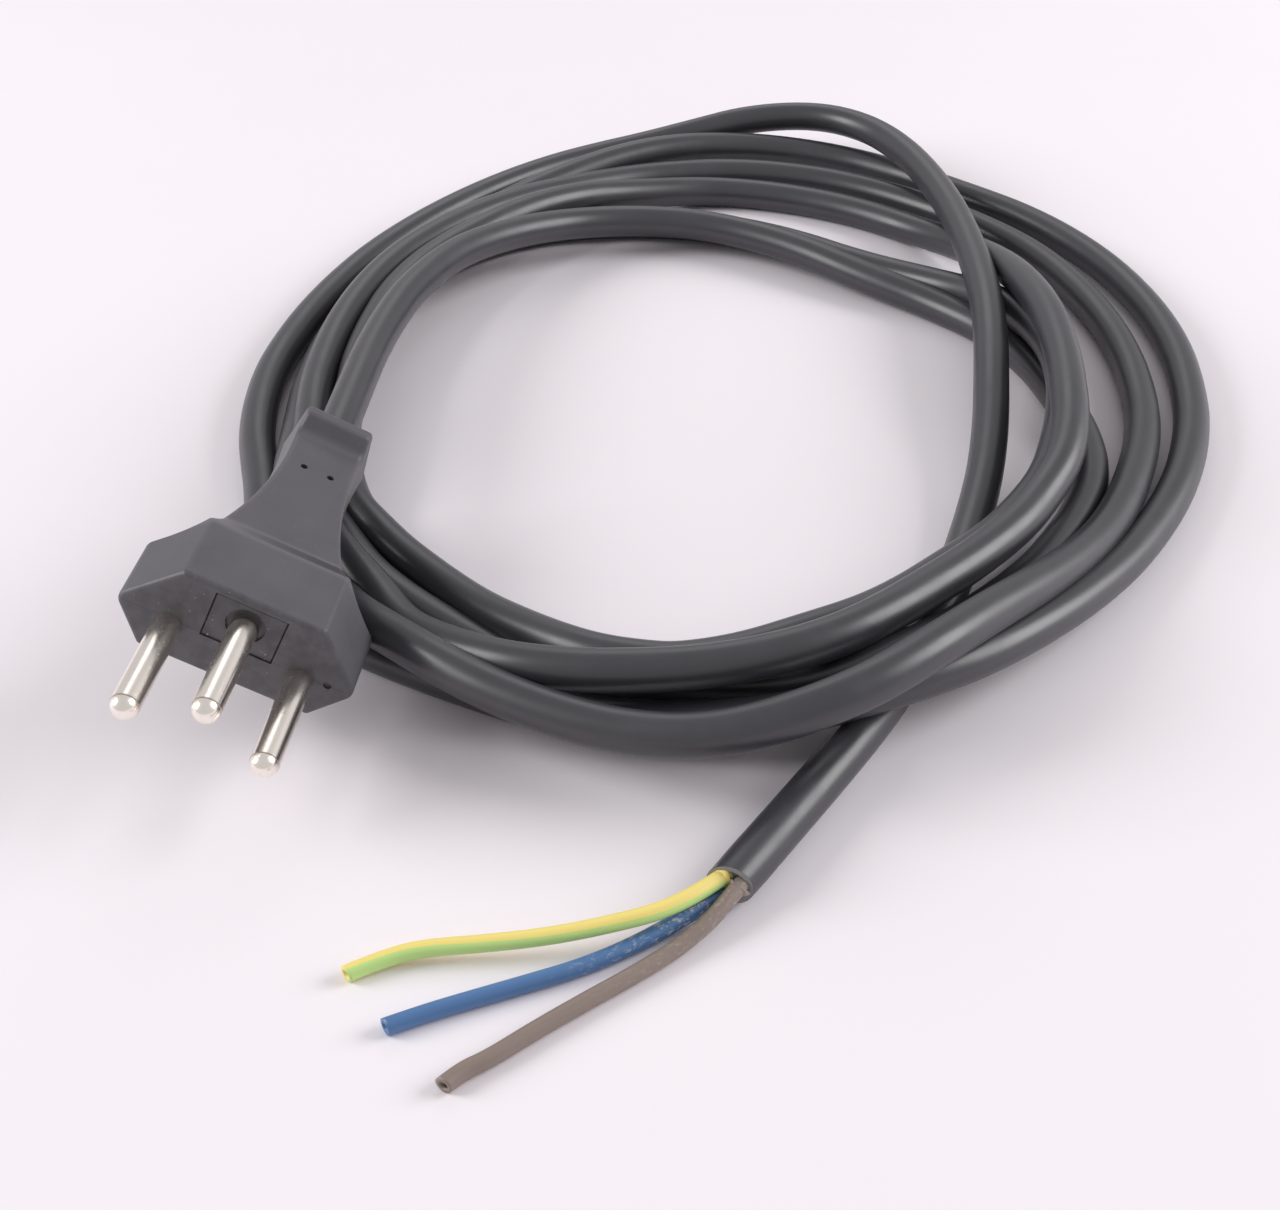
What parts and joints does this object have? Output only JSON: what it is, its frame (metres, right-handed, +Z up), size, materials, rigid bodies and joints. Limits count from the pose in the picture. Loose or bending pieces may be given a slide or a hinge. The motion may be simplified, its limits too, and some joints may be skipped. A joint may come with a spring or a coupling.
{
  "type": "type j plug",
  "caption": "Moulded mains plug with round pins on a loosely coiled round lead, whose far end is cut and stripped to its coloured cores.",
  "frame": {"origin": "root of the earth pin, on its axis in the mating face", "axes": "-Y along the pins, out of the mating face; +Z up from the surface that the lead lies on; the plug is rolled 25.8 degrees about Y, as it rests on its lead"},
  "size_m": [0.1769, 0.2718, 0.0288],
  "materials": {
    "housing": "matte charcoal, moulded",
    "insert": "matte charcoal, moulded",
    "pin": "bright nickel plate, lightly used",
    "sheath": "satin charcoal",
    "line_insulation": "satin grey brown",
    "neutral_insulation": "satin blue",
    "earth_insulation": "satin yellow with a green stripe",
    "conductor": "bare copper strands"
  },
  "bodies": {
    "root": {"plug_body": "housing", "pin_carrier": "insert", "line_pin": "pin", "neutral_pin": "pin", "earth_pin": "pin", "cable_lead": "sheath", "cable_coil": "sheath", "cable_tail": "sheath", "inner_line_core": "line_insulation", "line_core": "line_insulation", "inner_neutral_core": "neutral_insulation", "neutral_core": "neutral_insulation", "inner_earth_core": "earth_insulation", "earth_core": "earth_insulation", "inner_line_conductor": "conductor", "inner_neutral_conductor": "conductor", "inner_earth_conductor": "conductor", "line_conductor": "conductor", "neutral_conductor": "conductor", "earth_conductor": "conductor"}
  },
  "joints": []
}
